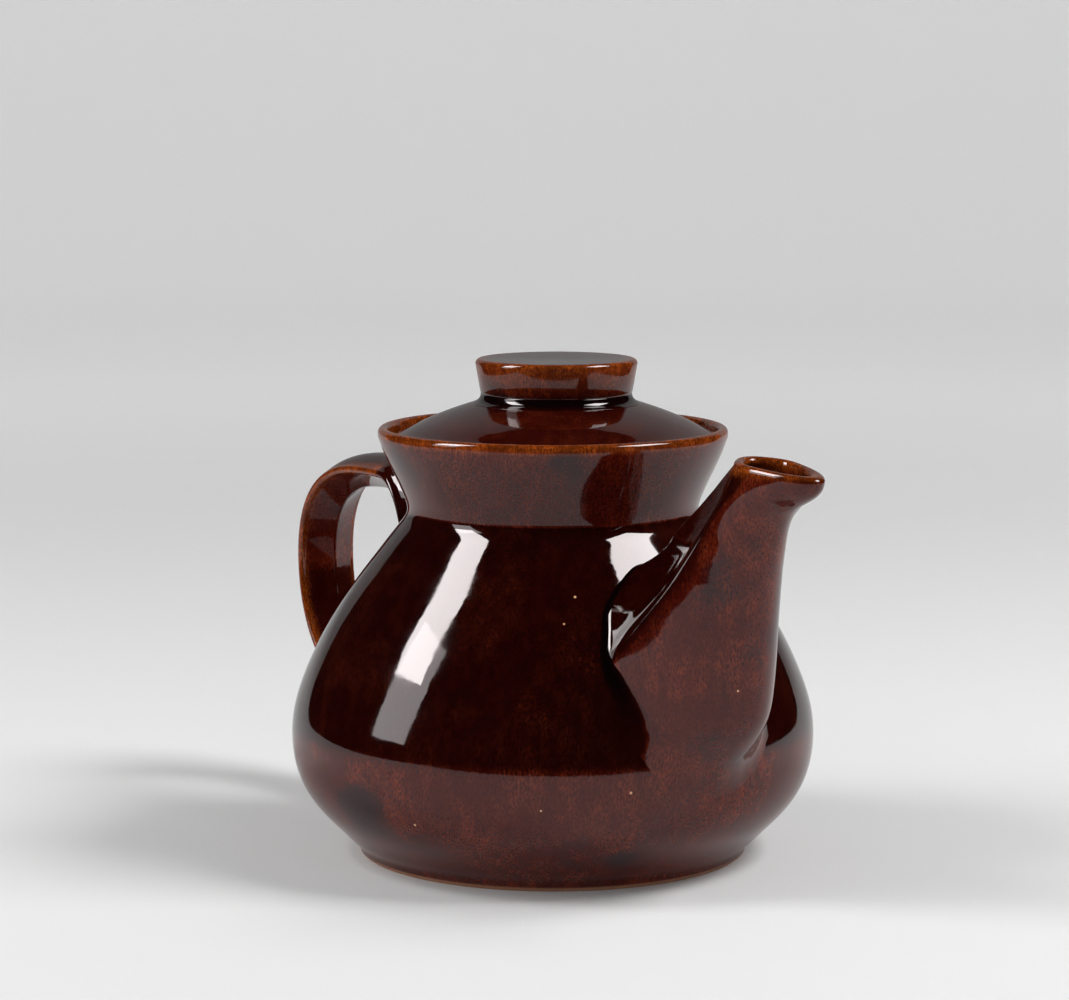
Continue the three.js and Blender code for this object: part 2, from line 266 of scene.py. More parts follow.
# %% Body outline
foot_share, foot_lift_share = 0.741, 0.0049
outside_shares = [
    (0.745, 0.012), (0.7535, 0.022), (0.776, 0.036), (0.821, 0.063), (0.895, 0.109), (0.9605, 0.168),
    (0.996, 0.245), (0.9925, 0.3325), (0.9465, 0.425), (0.869, 0.5245), (0.7755, 0.6175),
    (0.667, 0.707), (0.5865, 0.7705), (0.556, 0.802), (0.567, 0.838), (0.612, 0.8995),
    (0.651, 0.9535), (0.6655, 0.979),
]
wall = 4 * MM
rim_wall = 3.1 * MM
foot_recess = 2 * MM
foot_ring_width = 5 * MM
base_thickness = 5 * MM
ledge_depth = 5.2 * MM
ledge_width = 4.4 * MM
ledge_thickness = 3 * MM
edge_round = 0.8 * MM
outside_steps = 180
round_steps, rim_round_steps, floor_round_steps = 5, 17, 10
body_curve = through([(belly_radius * out, rim_height * up) for out, up in outside_shares],
                     outside_steps)
ledge_height = rim_height - ledge_depth
rim_inner = body_curve[-1, 0] - rim_wall


def body_radius(height):
    """Outer radius of the body at a height."""
    return np.interp(height, body_curve[:, 1], body_curve[:, 0])


def body_profile():
    foot_radius = belly_radius * foot_share
    foot_lift = rim_height * foot_lift_share
    ring_inner = foot_radius - foot_ring_width
    rim_round = rim_wall / 2
    rim_centre = (rim_inner + rim_round, rim_height - rim_round)
    ledge_inner = rim_inner - ledge_width
    floor_height = foot_recess + base_thickness
    inside = body_curve[::-1].copy()
    inside[:, 0] -= wall
    keep = (inside[:, 1] < ledge_height - ledge_thickness) & (inside[:, 1] > floor_height + wall)
    inside = inside[keep]
    corner = inside[-1]
    floor_edge = (corner[0] - wall, floor_height)
    hollow = bent(corner, (corner[0], floor_height), floor_edge, floor_round_steps)[1:]
    return np.concatenate([
        [(0, foot_recess), (ring_inner - foot_recess, foot_recess)],
        arc((ring_inner + edge_round, edge_round), edge_round, 180, 270, round_steps),
        [(foot_radius - edge_round, 0), (foot_radius, foot_lift)],
        body_curve,
        arc(rim_centre, rim_round, 0, 180, rim_round_steps),
        arc((rim_inner - edge_round, ledge_height + edge_round), edge_round, 0, -90, round_steps),
        arc((ledge_inner + edge_round, ledge_height - edge_round), edge_round, 90, 180, round_steps),
        [(ledge_inner, ledge_height - ledge_thickness)],
        inside,
        hollow,
        [(0, floor_height)],
    ])


body = net("pot_body_shell", turned(body_profile(), axis), "pot", ["pot_body"])

# %% [markdown]
# Behind the spout the wall is pierced by a ring of small holes that hold back the leaves. They
# are punched through the clay, so here each is a cylinder cut out of the wall. They can't be
# seen in the photograph: their number and size are a guess.

# %% Strainer holes
strainer_hole = 5 * MM
strainer_pitch = 9 * MM
strainer_height = 66 * MM
strainer_ring_holes = 6


def punch(side, up):
    """Cuts one hole along the spout's direction through the wall of the body."""
    bpy.ops.mesh.primitive_cylinder_add(radius=strainer_hole / 2, depth=belly_radius)
    tool = bpy.context.object
    tool.rotation_euler = (0, math.pi / 2, 0)
    tool.location = axis + Vector((belly_radius, side, strainer_height + up))
    cut = body.modifiers.new("hole", "BOOLEAN")
    cut.operation = "DIFFERENCE"
    cut.solver = "EXACT"
    cut.object = tool
    bpy.context.view_layer.objects.active = body
    bpy.ops.object.modifier_apply(modifier=cut.name)
    bpy.data.objects.remove(tool)


punch(0, 0)
for hole in range(strainer_ring_holes):
    around = 2 * math.pi * hole / strainer_ring_holes
    punch(strainer_pitch * math.cos(around), strainer_pitch * math.sin(around))
print(f"body with strainer holes: {len(body.data.polygons)} faces")

# %% [markdown]
# ## Parts that stand on the body
# Spout and handle run on into the wall. Points that would reach the hollow of the pot are moved
# out to the middle of the wall, and faces that lie wholly in there are left out, so that
# nothing of them shows inside.

# %% Buried ends


def trimmed(rows):
    """Rows with points moved out of the hollow of the body, and which points were moved."""
    rows = rows.copy()
    radius = np.hypot(rows[:, :, 0], rows[:, :, 1])
    least = body_radius(rows[:, :, 2]) - wall / 2
    buried = radius < least
    rows[:, :, :2] *= np.where(buried, least / np.maximum(radius, weld_distance), 1)[:, :, None]
    return rows, buried


def placed(rows):
    """Rows given from the pot's axis, in the frame."""
    return rows + (axis.x, axis.y, 0)


# %% [markdown]
# ## The spout
# The spout is cast hollow with three soft edges: a keel toward the pot, a ridge on each side
# and a rounded nose. It is lofted from level loops. Each level has the reach of its keel, ridges
# and nose and its half widths, as shares of the spout's sizes. The faces between keel and ridge
# are hollow, and the sides are parts of an ellipse. A shallow dimple lies below the lip.

# %% Spout levels
spout_low_height = 30 * MM
lip_below_rim = 3.2 * MM
lip_height = rim_height - lip_below_rim
lip_tilt = 2.6 * MM
lip_rise = 1.6 * MM
lip_tilt_power = 4
lip_steps = 17
spout_half_width = 25 * MM
keel_half_width = 1.1 * MM
waist_radius = 41.5 * MM
spout_projection = spout_reach - belly_radius
# height, keel, ridge, width, root, dip and nose shares of each level
spout_shares = np.array([
    (0.000, 0.000, 0.200, 0.720, 0.72, 0.00, -0.030),
    (0.120, 0.000, 0.200, 0.920, 0.92, 0.00, 0.200),
    (0.190, 0.000, 0.200, 0.990, 0.99, 0.00, 0.316),
    (0.250, 0.000, 0.203, 1.015, 1.01, 0.00, 0.380),
    (0.310, 0.000, 0.212, 1.009, 1.01, 0.00, 0.409),
    (0.387, 0.000, 0.240, 0.984, 1.00, 0.00, 0.430),
    (0.450, 0.000, 0.282, 0.929, 1.03, 0.12, 0.441),
    (0.526, 0.000, 0.343, 0.843, 0.97, 0.22, 0.454),
    (0.600, 0.010, 0.408, 0.755, 0.54, 0.18, 0.469),
    (0.680, 0.130, 0.472, 0.662, 0.13, 0.09, 0.495),
    (0.760, 0.220, 0.530, 0.575, 0.02, 0.05, 0.545),
    (0.860, 0.370, 0.602, 0.480, 0.02, 0.03, 0.635),
    (0.910, 0.440, 0.636, 0.440, 0.04, 0.02, 0.765),
    (0.955, 0.510, 0.663, 0.408, 0.08, 0.00, 0.950),
    (1.000, 0.585, 0.690, 0.385, 0.12, 0.00, 0.995),
])
hollow_place_share = 0.55
spout_rows = 160
spout_around = 240
level_softness = 2.8
corner_softness, lip_softness = 2.2, 9.0
lip_softness_start = 0.88
side_steps = 60
top_ridge_turn, root_ridge_turn = 22, 46
ridge_turn_height, ridge_turn_span = 0.66, 0.28
spout_hollow_share = 0.7
hollow_centre_share = 0.4
dimple_depth = 0.8 * MM
dimple_reach, dimple_length = 108 * MM, 4 * MM
dimple_height, dimple_rise = 111 * MM, 1.6 * MM
dimple_fade = 3 * MM


def spout_loop(level):
    """A level loop of the spout in reach and side distance, from keel round by ridge and nose."""
    height, keel, ridge, width, root, dip, nose = level
    keel, ridge = mix(waist_radius, spout_reach, keel), mix(waist_radius, spout_reach, ridge)
    nose = belly_radius + spout_projection * nose
    width, dip = spout_half_width * width, spout_half_width * max(dip, 0)
    root = max(spout_half_width * root, keel_half_width)
    hollow = (mix(keel, ridge, hollow_place_share), (root + width) / 2 - dip)
    back = bent((keel, root), hollow, (ridge, width), side_steps)
    back[:, 1] = np.maximum(back[:, 1], keel_half_width)
    lowness = np.clip((ridge_turn_height - height) / ridge_turn_span, 0, 1)
    start = math.radians(mix(top_ridge_turn, root_ridge_turn, lowness))
    turn = np.linspace(start, math.pi / 2, side_steps)[1:]
    ahead = (np.sin(turn) - math.sin(start)) / (1 - math.sin(start))
    front = np.stack([mix(ridge, nose, ahead), width * np.cos(turn) / math.cos(start)], axis=1)
    side = np.concatenate([back, front])
    other = side[-2::-1] * (1, -1)
    return np.concatenate([side, other])


def even_loop(loop, count):
    """The same closed loop with count points at even distances."""
    closed = np.concatenate([loop, loop[:1]])
    return at_run(closed, np.linspace(0, run_along(closed)[-1], count, endpoint=False))


def spout_outside():
    """The spout's outer rows: reach from the axis, side distance and height."""
    height = np.linspace(0, 1, spout_rows)
    table = spline(spout_shares[:, 0], spout_shares, height)
    rows = []
    for number, level in enumerate(softened(table, level_softness)):
        sharp = spout_loop(level)
        keel, nose = sharp[:, 0].min(), sharp[:, 0].max()
        softness = mix(corner_softness, lip_softness, rising(level[0], lip_softness_start, 1))
        loop = softened(even_loop(sharp, spout_around), softness, around=True)
        low, high = loop[:, 0].min(), loop[:, 0].max()
        loop[:, 0] = mix(keel, nose, (loop[:, 0] - low) / (high - low))
        up = mix(spout_low_height, lip_height, level[0])
        tilt = lip_tilt * (number / (spout_rows - 1)) ** lip_tilt_power
        lean = tilt * (loop[:, 0] - (keel + nose) / 2) / (nose - keel)
        rows.append(np.column_stack([loop, up - lean]))
    rows = np.array(rows)
    reach, side, up = np.moveaxis(rows, 2, 0)
    near = ((reach - dimple_reach) / dimple_length) ** 2 + ((up - dimple_height) / dimple_rise) ** 2
    rows[:, :, 1] -= dimple_depth * np.exp(-near) * np.clip(side / dimple_fade, -1, 1)
    return rows


def drawn_in(row, share):
    """A loop drawn in toward its middle, by a share of its size."""
    centre = np.array((mix(row[:, 0].min(), row[:, 0].max(), hollow_centre_share), 0))
    inner = row.copy()
    inner[:, :2] = centre + (row[:, :2] - centre) * share
    return inner


def spout_net():
    """The spout's rows, up the outside, over the lip and down the hollow."""
    outside = spout_outside()
    lip = []
    for turn in np.linspace(0, math.pi, lip_steps)[1:-1]:
        row = drawn_in(outside[-1], mix(1, spout_hollow_share, (1 - math.cos(turn)) / 2))
        row[:, 2] += lip_rise * math.sin(turn)
        lip.append(row)
    inside = [drawn_in(row, spout_hollow_share) for row in outside[::-1]]
    return np.concatenate([outside, lip, inside])


spout_rows_trimmed, spout_buried = trimmed(spout_net())
spout = net("spout_shell", placed(spout_rows_trimmed), "pot", ["spout"], spout_buried)

# %% [markdown]
# ## The handle
# The handle is a strap with a lens-shaped section and thin edges, pressed in a mould. It leaves
# the neck nearly level, swings out and comes back into the low belly. Near each root it spreads,
# and at the upper one its edges bend down to the shoulder. It is a loft along one spline.

# %% Handle
handle_edge = 2.6 * MM
handle_crown = 3 * MM
handle_ridge = 4.6 * MM
handle_half_width = 10 * MM
handle_foot_height = 27 * MM
handle_below_rim = 20.7 * MM
handle_top_height = rim_height - handle_below_rim
handle_line_reach = handle_reach - handle_edge / 2 - handle_crown
root_widening = 6 * MM
root_deepening = 3 * MM
root_lift = 5 * MM
droop_start = 34.5 * MM
droop_length = 18.7 * MM
root_droop = 34 * MM
upper_root_share, lower_root_share = 0.36, 0.3
# reach from the pot to the strap's farthest point, and height from foot to top, as shares
handle_shares = [
    (-0.022, 0.99), (0.163, 0.997), (0.346, 1), (0.564, 1), (0.72, 0.983), (0.856, 0.922),
    (0.942, 0.83), (0.988, 0.716), (1, 0.589), (0.979, 0.435), (0.898, 0.281), (0.733, 0.147),
    (0.489, 0.054), (0.188, 0.007), (-0.062, 0), (-0.224, 0),
]
handle_rows = 220
handle_softness = 5
handle_across = 31
handle_tip_steps = 9


def handle_path():
    """The strap's middle line from neck to belly, as places across and up."""
    points = [(-mix(mix(belly_radius, waist_radius, up), handle_line_reach, out),
               mix(handle_foot_height, handle_top_height, up)) for out, up in handle_shares]
    return softened(through(points, handle_rows), handle_softness)


def handle_section(share, reach):
    """Side, and distance outward from the strap's middle line, round one cross-section."""
    spread = max(1 - share / upper_root_share, 0) ** 2
    spread += max(1 - (1 - share) / lower_root_share, 0) ** 2
    bend = np.clip((waist_radius + droop_start - reach) / droop_length, 0, 1) * (share < 0.5)
    droop = root_droop * (1 - math.sqrt(1 - bend**2))
    half_width = handle_half_width + root_widening * spread
    edge = handle_edge / 2
    across = np.linspace(-1, 1, handle_across)
    crown = mix(edge, edge + handle_crown + root_lift * spread, 1 - across**2)
    ridge = mix(edge, edge + handle_ridge + root_deepening * spread, 1 - np.abs(across))
    sag = droop * across**2
    straight = half_width - edge
    tip = np.linspace(math.pi / 2, -math.pi / 2, handle_tip_steps)[1:-1]
    outer = np.column_stack([across * straight, crown - sag])
    inner = np.column_stack([across[::-1] * straight, -ridge[::-1] - sag[::-1]])
    right = np.column_stack([straight + edge * np.cos(tip), edge * np.sin(tip) - droop])
    left = np.column_stack([-straight - edge * np.cos(tip), -edge * np.sin(tip) - droop])
    return np.concatenate([outer, right, inner, left])


def handle_net():
    path = handle_path()
    along = np.gradient(path, axis=0)
    along /= np.linalg.norm(along, axis=1, keepdims=True)
    rows = []
    for number in range(handle_rows):
        section = handle_section(number / (handle_rows - 1), -path[number, 0])
        outward = np.array((along[number, 1], -along[number, 0]))
        place = path[number] + section[:, 1:] * outward
        rows.append(np.column_stack([place[:, 0], section[:, 0], place[:, 1]]))
    return np.array(rows)


handle_full = handle_net()
handle_rows_trimmed, handle_buried = trimmed(handle_full)
handle = net("handle_strap", placed(handle_rows_trimmed), "pot", ["handle"],
             handle_buried)

# %% [markdown]
# ## The lid and its knob
# The loose lid is a turned plate with a low cone on top, a hollow underside and a collar that
# drops inside the neck. The knob is a short disc with a straight flared side and a slightly
# dished top, stuck on with slip that the glaze rounds into a hollow ring.

# %% Lid
collar_depth = 6 * MM
collar_radius = 40.9 * MM
collar_wall = 3.4 * MM
lid_bottom = lid_low.z + collar_depth
lid_top = lid_high.z
lid_radius = (lid_high.y - lid_low.y) / 2
lid_wall = 4 * MM
lid_edge_height = 3 * MM
lid_edge_turn, lid_edge_steps = 75, 6
lid_rim_top = lid_bottom + lid_edge_height
knob_flare = 1.5 * MM
knob_radius = (knob_high.y - knob_low.y) / 2
knob_waist_radius = knob_radius - knob_flare
# share of the way from the lid's edge to the knob, share of the rise
dome_shares = [(0.12, 0.10), (0.3, 0.33), (0.65, 0.70), (1, 1)]
dome_steps = 60
dome_points = [(mix(lid_radius, knob_waist_radius, out), mix(lid_rim_top, lid_top, up))
               for out, up in dome_shares]
lid_dome = through([(lid_radius - edge_round, lid_rim_top), *dome_points], dome_steps)


def lid_profile():
    """The lid's outline: hollow underside, collar, edge and the low cone on top."""
    under = lid_dome[::-1] - (0, lid_wall)
    collar_inner = collar_radius - collar_wall
    under = under[under[:, 0] < collar_inner - edge_round]
    return np.concatenate([
        [(0, lid_top - lid_wall)],
        under,
        [(collar_inner, lid_bottom)],
        arc((collar_inner + edge_round, lid_low.z + edge_round), edge_round, 180, 270, round_steps),
        arc((collar_radius - edge_round, lid_low.z + edge_round), edge_round, 270, 360, round_steps),
        [(collar_radius, lid_bottom)],
        arc((lid_radius - edge_round, lid_bottom + edge_round), edge_round, 270, 360, round_steps),
        arc((lid_radius - edge_round, lid_rim_top - edge_round), edge_round,
            0, lid_edge_turn, lid_edge_steps),
        lid_dome[1:],
        [(0, lid_top)],
    ])


lid = net("lid_plate", turned(lid_profile(), lid_axis), "lid", ["lid"])

# %% Knob
knob_edge = 1.4 * MM
knob_dimple = 0.4 * MM
knob_upright_share = 0.02
knob_cone_share = 0.14
knob_round_steps, knob_face_steps = 9, 30


def knob_profile():
    """The knob's outline: a short upright foot, a flared side, a round edge and a dished top."""
    top = knob_high.z
    upright = mix(knob_low.z, top, knob_upright_share)
    cone = mix(knob_low.z, top, knob_cone_share)
    cone_share = (cone - upright) / (top - knob_edge - upright)
    cone_start = (mix(knob_waist_radius, knob_radius, cone_share), cone)
    side = bent((knob_waist_radius, upright), (knob_waist_radius, (upright + cone) / 2), cone_start,
                knob_round_steps)
    reach = np.linspace(knob_radius - knob_edge, 0, knob_face_steps)
    face = np.column_stack([reach, top - knob_dimple * (1 - rising(reach, 0, knob_radius - knob_edge))])
    return np.concatenate([
        [(0, knob_low.z), (knob_waist_radius, knob_low.z)],
        side,
        arc((knob_radius - knob_edge, top - knob_edge), knob_edge, 0, 90, knob_round_steps),
        face[1:],
    ])


knob = net("knob", turned(knob_profile(), lid_axis), "lid", ["lid_knob"])

# %% Slip ring under the knob
knob_fillet_reach = 2.6 * MM
knob_fillet_height = 0.4 * MM
fillet_steps = 15


def knob_fillet_profile():
    """A hollow ring of slip from the lid up to the knob."""
    outer = knob_waist_radius + knob_fillet_reach
    inner = knob_waist_radius - knob_fillet_reach
    outer_height = np.interp(outer, lid_dome[::-1, 0], lid_dome[::-1, 1])
    end = (knob_waist_radius, knob_low.z + knob_fillet_height)
    curve = bent((outer, outer_height), (knob_waist_radius, lid_top), end, fillet_steps)
    return np.concatenate([[(inner, outer_height)], curve, [(inner, end[1])]])


knob_fillet = net("knob_slip_fillet", turned(knob_fillet_profile(), lid_axis), "lid",
                  ["knob_slip_seam"])

# %% [markdown]
# ## Slip fillets at the roots
# Where spout and handle meet the body, the potter wipes the wet slip into a hollow fillet. Each
# fillet is a strip that leaves one surface and arrives at the other, tangent to both. First the
# crease between the two is found, all the way round, with the direction in which the body runs
# away from it.

# %% Fillet helper
fillet_softness = 1.5
slope_step = MM / 2


def fillet(name, starts, creases, reach, stands_for):
    """A hollow strip from starts, on a piece, by its creases to points that far out on the body."""
    ahead = np.roll(creases, -1, axis=0) - np.roll(creases, 1, axis=0)
    radius = np.hypot(creases[:, 0], creases[:, 1])
    above, below = creases[:, 2] + slope_step, creases[:, 2] - slope_step
    slope = (body_radius(above) - body_radius(below)) / (2 * slope_step)
    normal = np.column_stack([creases[:, 0] / radius, creases[:, 1] / radius, -slope])
    away = np.cross(ahead, normal)
    away /= np.linalg.norm(away, axis=1, keepdims=True)
    away *= np.sign(away[creases[:, 2].argmax(), 2])
    ends = creases + away * np.reshape(reach, (-1, 1))
    ends[:, :2] *= (body_radius(ends[:, 2]) / np.hypot(ends[:, 0], ends[:, 1]))[:, None]
    lines = softened(np.stack([starts, creases, ends], axis=1), fillet_softness, around=True)
    strip = bent(lines[:, 0], lines[:, 1], lines[:, 2], fillet_steps)
    return net(name, placed(strip), "pot", stands_for)


# %% Spout fillet
spout_fillet_height = 61 * MM
spout_fillet_turns = 240
probe_step = 0.5 * MM
top_fillet_reach, side_fillet_reach, low_fillet_reach = 1.5 * MM, 3.5 * MM, 12 * MM
low_fillet_power = 4


def spout_creases():
    """Points on the spout and on its crease with the body, found by rays cast from all sides."""
    tree = BVHTree.FromObject(spout, bpy.context.evaluated_depsgraph_get())
    far = 2 * belly_radius
    starts, creases, reaches = [], [], []
    for turn in np.linspace(0, 2 * math.pi, spout_fillet_turns, endpoint=False):
        side = Vector((0, math.sin(turn), math.cos(turn)))
        line = []
        for out in np.arange(belly_radius / 2, far, probe_step):
            centre = axis + Vector((out, 0, spout_fillet_height))
            hit = tree.ray_cast(centre + side * far, -side)[0]
            if hit is None:
                continue
            place = np.array(hit - axis)
            if math.hypot(place[0], place[1]) > body_radius(place[2]):
                line.append(place)
            else:
                line = [place]
        upward = math.cos(turn)
        reach = mix(side_fillet_reach, top_fillet_reach, max(upward, 0))
        downward = 0.5 - 0.5 * upward
        reach = mix(reach, low_fillet_reach, downward ** low_fillet_power)
        starts.append(at_run(np.array(line), reach))
        creases.append(line[0])
        reaches.append(reach)
    return np.array(starts), np.array(creases), np.array(reaches)


spout_fillet = fillet("spout_slip_fillet", *spout_creases(), ["spout_slip_seam"])

# %% Handle fillets
handle_fillet_reach = 3.5 * MM
crease_count = 160


def column_creases(rows, reach):
    """Points on a strap and on its crease, where each of its columns leaves the body."""
    gap = np.hypot(rows[:, :, 0], rows[:, :, 1]) - body_radius(rows[:, :, 2])
    starts, creases = [], []
    for column in range(rows.shape[1]):
        first = int(np.argmax(gap[:, column] > 0))
        inside, outside = gap[first - 1, column], gap[first, column]
        crease = mix(rows[first - 1, column], rows[first, column], -inside / (outside - inside))
        line = np.concatenate([[crease], rows[first:, column]])
        starts.append(at_run(line, reach))
        creases.append(crease)
    return np.array(starts), np.array(creases), reach * np.ones(len(creases))


def even_creases(starts, creases, reaches):
    """The same lines round a root, with their points at even distances along the crease."""
    closed = [np.concatenate([line, line[:1]]) for line in (starts, creases)]
    run = run_along(closed[1])
    even = np.linspace(0, run[-1], crease_count, endpoint=False)
    lines = [np.stack([np.interp(even, run, line[:, k]) for k in range(3)], axis=1) for line in closed]
    return (*lines, reaches[0] * np.ones(crease_count))


handle_fillets = []
for name, rows in (("upper", handle_full), ("lower", handle_full[::-1])):
    creases = even_creases(*column_creases(rows, handle_fillet_reach))
    seam = [f"handle_{name}_slip_seam"]
    handle_fillets.append(fillet(f"handle_{name}_slip_fillet", *creases, seam))

# %% [markdown]
# ## The studio
# A pale floor rises all round into a pale wall, so every view has a plain ground, and it glows
# a little with distance like a lit backdrop. The dark glaze would mirror that wall, though, and
# the photograph's pot mirrors a dark room: so floor and wall are hidden from glossy rays, and a
# small sheet of paper is shown to them alone. Its back curves up, and it is painted darker there,
# as painted shade.

# %% Node helpers


def add(tree, kind, inputs=None, **settings):
    """Adds a node with settings; each input gets a value or a link to another node's output."""
    made = tree.nodes.new(kind)
    for key, value in settings.items():
        setattr(made, key, value)
    for key, value in (inputs or {}).items():
        if isinstance(value, bpy.types.NodeSocket):
            tree.links.new(value, made.inputs[key])
        else:
            made.inputs[key].default_value = value
    return made


def calc(tree, operation, *values):
    """The result of a sum, product or other operation on values."""
    return add(tree, "ShaderNodeMath", dict(enumerate(values)), operation=operation).outputs[0]


def ramp(tree, value, low, high, to_low=0.0, to_high=1.0):
    """Goes smoothly from to_low to to_high as the value goes from low to high."""
    inputs = {"Value": value, "From Min": low, "From Max": high, "To Min": to_low, "To Max": to_high}
    return add(tree, "ShaderNodeMapRange", inputs, interpolation_type="SMOOTHSTEP").outputs[0]


def noise(tree, place, size, detail=2.0):
    """Noise whose blotches are about size across."""
    inputs = {"Vector": place, "Scale": 1 / size, "Detail": detail}
    return add(tree, "ShaderNodeTexNoise", inputs).outputs[0]


def blend(tree, share, first, second):
    """Goes from the first colour to the second."""
    inputs = {0: share, 6: first, 7: second}
    return add(tree, "ShaderNodeMix", inputs, data_type="RGBA").outputs[2]


def object_place(tree):
    return add(tree, "ShaderNodeTexCoord").outputs["Object"]


def new_material(name, roughness):
    """A new material, with its node tree and its shader."""
    material = bpy.data.materials.new(name)
    material.use_nodes = True
    shader = material.node_tree.nodes["Principled BSDF"]
    shader.inputs["Roughness"].default_value = roughness
    return material, material.node_tree, shader


# %% Floor and backdrop
floor_colour = (0.80, 0.80, 0.80, 1)
matt_roughness = 0.9
floor_flat_radius = 2.2
floor_bounce_radius = 0.6
wall_curve_radius = 0.9
wall_height = 2.5
wall_steps = 24
floor_turns = 96
glow_start, glow_end, glow_strength = 0.3, 1.5, 0.30


def staged(name, rows, material):
    """A sheet from rows of points that belongs to the studio."""
    rows = np.asarray(rows, float)
    count, across = rows.shape[:2]
    faces = [(r * across + i, r * across + i + 1, (r + 1) * across + i + 1, (r + 1) * across + i)
             for r in range(count - 1) for i in range(across - 1)]
    mesh = bpy.data.meshes.new(name)
    mesh.from_pydata(rows.reshape(-1, 3).tolist(), [], faces)
    mesh.materials.append(material)
    mesh.shade_smooth()
    thing = bpy.data.objects.new(name, mesh)
    bpy.context.scene.collection.objects.link(thing)
    print(f"{name}: {len(faces)} faces")
    return thing


def floor_paint():
    """A pale matt paint whose glow grows with the distance from the pot."""
    material, tree, shader = new_material("floor_paint", matt_roughness)
    shader.inputs["Base Color"].default_value = floor_colour
    place = object_place(tree)
    flat = add(tree, "ShaderNodeVectorMath", {0: place, 1: (1, 1, 0)}, operation="MULTIPLY").outputs[0]
    far = add(tree, "ShaderNodeVectorMath", {0: flat}, operation="LENGTH").outputs["Value"]
    glow = ramp(tree, far, glow_start, glow_end, 0, glow_strength)
    tree.links.new(glow, shader.inputs["Emission Color"])
    shader.inputs["Emission Strength"].default_value = 1
    return material


def ring_rows(outline):
    """Rows of rings from an outline of radii and heights, whose ends meet."""
    angle = np.linspace(0, 2 * math.pi, floor_turns + 1)
    outline = np.asarray(outline, float)
    return np.stack([np.outer(outline[:, 0], np.cos(angle)), np.outer(outline[:, 0], np.sin(angle)),
                     np.repeat(outline[:, 1:], len(angle), axis=1)], axis=2)


paint = floor_paint()
wall_bend = arc((floor_flat_radius, wall_curve_radius), wall_curve_radius, -90, 0, wall_steps)
wall_top = (floor_flat_radius + wall_curve_radius, wall_height)
floor = staged("studio_floor", ring_rows([(0, 0), (floor_bounce_radius, 0)]), paint)
backdrop = staged("studio_backdrop", ring_rows([(floor_bounce_radius, 0), *wall_bend, wall_top]), paint)
floor.visible_glossy = False
backdrop.visible_glossy = False

# %% Paper for the reflections
paper_front = -0.42
paper_back = 0.45
paper_half_width = 0.62
paper_curve = 0.35
paper_height = 1.1
paper_lift = 0.2 * MM
paper_bend_steps, paper_across = 16, 9
# the sheet is painted from pale to dark up its raised back: painted shade
paper_fade_height = 0.15
paper_shaded_tones = 0.62, 0.22


def paper_rows():
    """The sheet's rows, from its front edge below the camera to its raised back."""
    bend = arc((paper_back, paper_curve), paper_curve, -90, 0, paper_bend_steps)
    side = np.concatenate([[(paper_front, 0), (0, 0)], bend,
                           [(paper_back + paper_curve, paper_height)]])
    return [[tuple(axis + from_photo(share * paper_half_width, away, up + paper_lift))
             for share in np.linspace(-1, 1, paper_across)] for away, up in side]


paper_material, paper_tree, paper_shader = new_material("paper", matt_roughness)
paper_up = add(paper_tree, "ShaderNodeSeparateXYZ", {0: object_place(paper_tree)}).outputs["Z"]
# painted shade: darker up the sheet's raised back
paper_shade_tone = ramp(paper_tree, paper_up, 0, paper_fade_height, *paper_shaded_tones)
paper_tree.links.new(paper_shade_tone, paper_shader.inputs["Base Color"])
paper = staged("mirrored_paper", paper_rows(), paper_material)
paper.visible_camera = False
paper.visible_diffuse = False
paper.visible_shadow = False

# %% [markdown]
# ## Light
# Two softboxes hang left and right of the pot, well above it, and show as bright panes in the
# shoulder. The pane seen on the left is taller and brighter than fits the light on the floor. So
# the left softbox is made twice: one panel lights the scene and is hidden from glossy rays, and
# a leaning one is hidden from matt surfaces. A dimmer pane below it runs on down the belly.

# %% Softboxes
softbox_distance = 1.2
world_grey = (0.5, 0.5, 0.5, 1)
world_strength = 0.01


def softbox(name, azimuth, elevation, width, height, radiance, lean=0):
    """A soft panel aimed at the pot. The azimuth is right of the direction to the camera."""
    turn, rise = math.radians(azimuth), math.radians(elevation)
    aim = axis + Vector((0, 0, rim_height / 2))
    way = from_photo(math.sin(turn) * math.cos(rise), -math.cos(turn) * math.cos(rise), math.sin(rise))
    light = bpy.data.lights.new(name, "AREA")
    light.shape = "RECTANGLE"
    light.size, light.size_y = width, height
    light.energy = radiance * math.pi * width * height
    lamp = bpy.data.objects.new(name, light)
    bpy.context.scene.collection.objects.link(lamp)
    lamp.location = aim + way * softbox_distance
    turned_by = Quaternion((0, 0, 1), math.radians(lean))
    lamp.rotation_euler = ((-way).to_track_quat("-Z", "Y") @ turned_by).to_euler()
    print(f"{name}: {width} by {height} m, {light.energy:.1f} W")
    return lamp


left_softbox = softbox("left_softbox", azimuth=-83, elevation=48,
                       width=0.37, height=0.34, radiance=11.5)
left_softbox.visible_glossy = False
left_mirrored = softbox("left_softbox_mirrored", azimuth=-81, elevation=42.5,
                        width=0.33, height=0.60, radiance=15.5, lean=12)
left_mirrored.visible_diffuse = False
softbox("left_lower_pane", azimuth=-75, elevation=24, width=0.38, height=0.72, radiance=4.0)
softbox("right_softbox", azimuth=82, elevation=50.5, width=0.50, height=0.42, radiance=15.5)

world = bpy.data.worlds.new("studio_world")
world.use_nodes = True
world.node_tree.nodes["Background"].inputs["Color"].default_value = world_grey
world.node_tree.nodes["Background"].inputs["Strength"].default_value = world_strength
bpy.context.scene.world = world
bpy.context.scene.view_settings.view_transform = "Standard"
